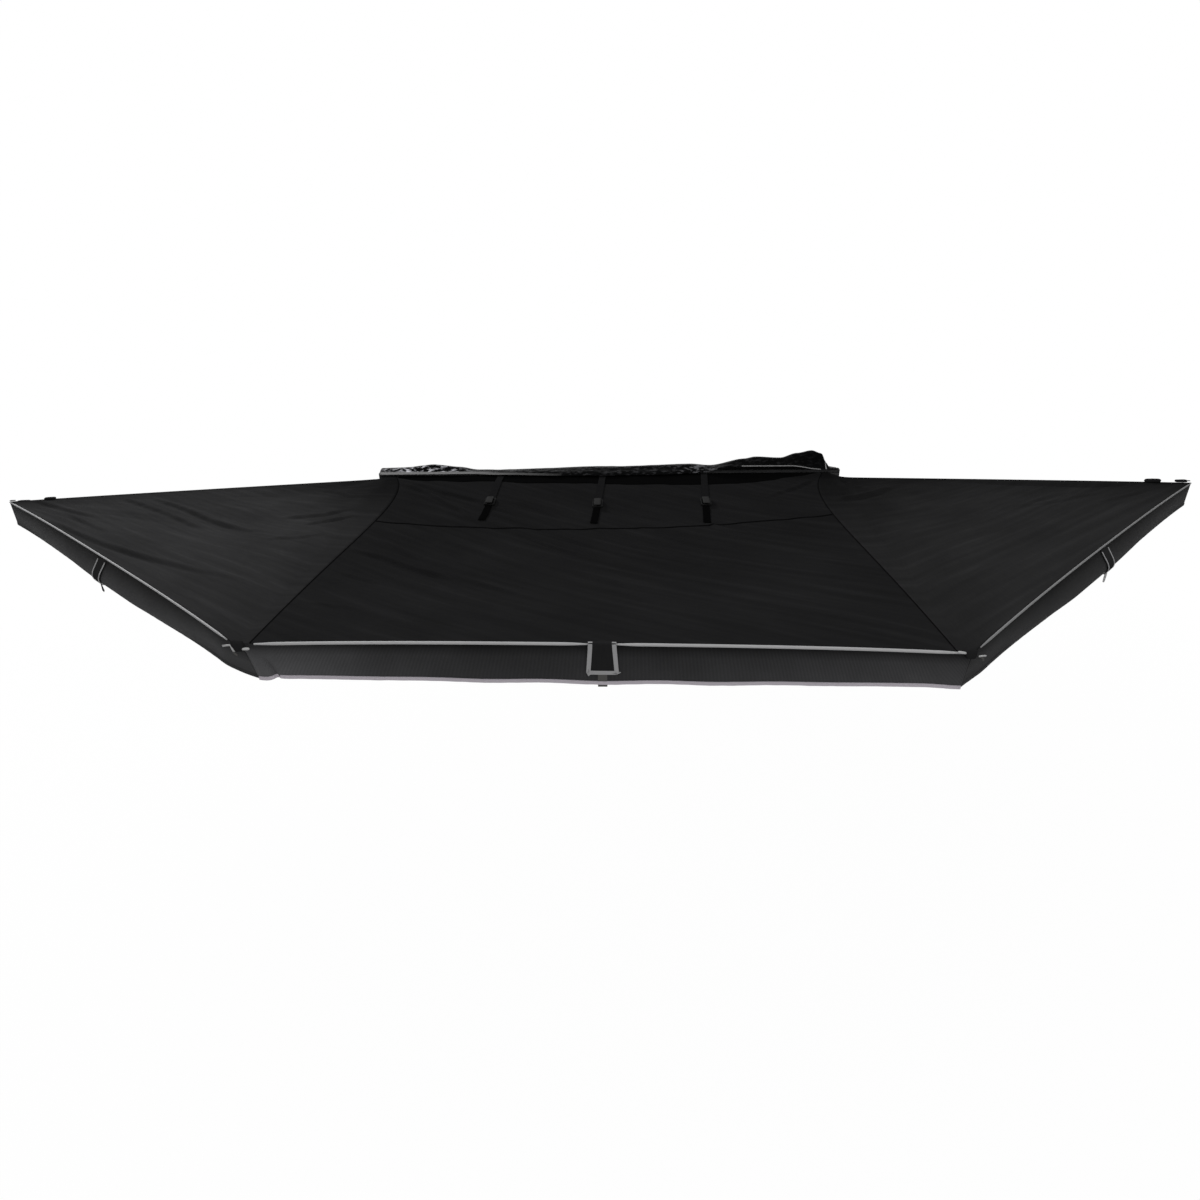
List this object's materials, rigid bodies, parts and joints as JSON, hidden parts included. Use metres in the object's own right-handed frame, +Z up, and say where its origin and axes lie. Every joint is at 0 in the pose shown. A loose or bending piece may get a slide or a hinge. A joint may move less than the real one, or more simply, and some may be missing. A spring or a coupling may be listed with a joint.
{
  "type": "vehicle side awning",
  "caption": "Fold-out side awning for a roof rack: hinged arms on a rail stretch a canopy with a hanging valance, pole tabs, telescoping tips and an open bag cover.",
  "frame": {"origin": "middle of the mounting rail's flat back face, between its two T-slots", "axes": "+X along the mounting rail, +Y towards the vehicle, so -Y points out under the canopy, +Z up"},
  "size_m": [4.9243, 1.6369, 0.2511],
  "materials": {
    "aluminium": "satin anodised extrusion",
    "black_steel": "black powder coat",
    "zinc_steel": "bright zinc plate",
    "black_plastic": "moulded, fine grain",
    "canopy_cloth": "tightly woven coated polyester, dark charcoal",
    "valance_cloth": "ribbed charcoal cloth with a grey hem",
    "cover_vinyl": "glossy black coated cover cloth",
    "webbing": "black woven webbing"
  },
  "bodies": {
    "root": {"mounting_rail": "aluminium", "left_rail_end_cap": "black_plastic", "right_rail_end_cap": "black_plastic", "left_roof_bracket": "black_steel", "right_roof_bracket": "black_steel", "left_upper_slot_bolt": "zinc_steel", "left_lower_slot_bolt": "zinc_steel", "right_upper_slot_bolt": "zinc_steel", "right_lower_slot_bolt": "zinc_steel", "left_upper_slot_nut": "zinc_steel", "left_lower_slot_nut": "zinc_steel", "right_upper_slot_nut": "zinc_steel", "right_lower_slot_nut": "zinc_steel", "left_hinge_bracket": "black_steel", "right_hinge_bracket": "black_steel", "left_front_pivot_bolt": "zinc_steel", "left_side_pivot_bolt": "zinc_steel", "right_front_pivot_bolt": "zinc_steel", "right_side_pivot_bolt": "zinc_steel", "left_front_pivot_nut": "zinc_steel", "left_side_pivot_nut": "zinc_steel", "right_front_pivot_nut": "zinc_steel", "right_side_pivot_nut": "zinc_steel", "bag_cover": "cover_vinyl", "left_strap": "webbing", "middle_strap": "webbing", "right_strap": "webbing", "left_buckle": "black_plastic", "middle_buckle": "black_plastic", "right_buckle": "black_plastic", "rear_panel": "canopy_cloth", "centre_panel": "canopy_cloth", "front_valance": "valance_cloth", "front_tab": "canopy_cloth", "front_tab_tail": "webbing"},
    "left_front_arm": {"left_front_knuckle": "black_plastic", "left_front_arm_tube": "aluminium", "left_front_tip_cap": "black_plastic"},
    "right_front_arm": {"right_front_knuckle": "black_plastic", "right_front_arm_tube": "aluminium", "right_front_tip_cap": "black_plastic"},
    "left_side_arm": {"left_side_knuckle": "black_plastic", "left_side_arm_tube": "aluminium", "left_clamp_collar": "black_plastic", "left_wing_panel": "canopy_cloth", "left_valance": "valance_cloth", "left_tab": "canopy_cloth"},
    "right_side_arm": {"right_side_knuckle": "black_plastic", "right_side_arm_tube": "aluminium", "right_clamp_collar": "black_plastic", "right_wing_panel": "canopy_cloth", "right_valance": "valance_cloth", "right_tab": "canopy_cloth"},
    "left_extension": {"left_extension_tube": "aluminium", "left_side_tip_cap": "black_plastic"},
    "right_extension": {"right_extension_tube": "aluminium", "right_side_tip_cap": "black_plastic"},
    "left_lever": {"left_clamp_lever": "black_plastic"},
    "right_lever": {"right_clamp_lever": "black_plastic"}
  },
  "joints": [
    {"name": "left_front_arm_fold", "type": "hinge", "parent": "root", "child": "left_front_arm", "pos_m": [-0.95, -0.04, 0.0095], "axis": [0, 0, 1], "range_deg": [0, 90], "deforming": ["rear_panel", "centre_panel", "front_valance", "front_tab", "front_tab_tail", "left_strap", "middle_strap", "right_strap", "left_buckle", "middle_buckle", "right_buckle", "left_wing_panel", "left_valance", "left_tab", "right_wing_panel", "right_valance", "right_tab"]},
    {"name": "right_front_arm_fold", "type": "hinge", "parent": "root", "child": "right_front_arm", "pos_m": [0.95, -0.04, -0.0235], "axis": [0, 0, 1], "range_deg": [-90, 0]},
    {"name": "left_side_arm_fold", "type": "hinge", "parent": "root", "child": "left_side_arm", "pos_m": [-0.995, -0.072, 0.0095], "axis": [0, 0, 1], "range_deg": [0, 171]},
    {"name": "right_side_arm_fold", "type": "hinge", "parent": "root", "child": "right_side_arm", "pos_m": [0.995, -0.072, -0.0235], "axis": [0, 0, 1], "range_deg": [-180, 0]},
    {"name": "left_extension_slide", "type": "slide", "parent": "left_side_arm", "child": "left_extension", "axis": [-0.9877, -0.1564, 0], "range_m": [-0.03, 0]},
    {"name": "right_extension_slide", "type": "slide", "parent": "right_side_arm", "child": "right_extension", "axis": [1, 0, 0], "range_m": [-0.03, 0]},
    {"name": "left_lever_flip", "type": "hinge", "parent": "left_side_arm", "child": "left_lever", "pos_m": [-2.29896, -0.25797, 0.0095], "axis": [0, 0, -1], "range_deg": [0, 110]},
    {"name": "right_lever_flip", "type": "hinge", "parent": "right_side_arm", "child": "right_lever", "pos_m": [2.312, -0.0517, -0.0235], "axis": [0, 0, 1], "range_deg": [0, 110]}
  ],
  "couplings": [
    {"joint": "right_front_arm_fold", "follows": "left_front_arm_fold", "ratio": -1},
    {"joint": "left_side_arm_fold", "follows": "left_front_arm_fold", "ratio": 1.9},
    {"joint": "right_side_arm_fold", "follows": "left_front_arm_fold", "ratio": -2}
  ]
}
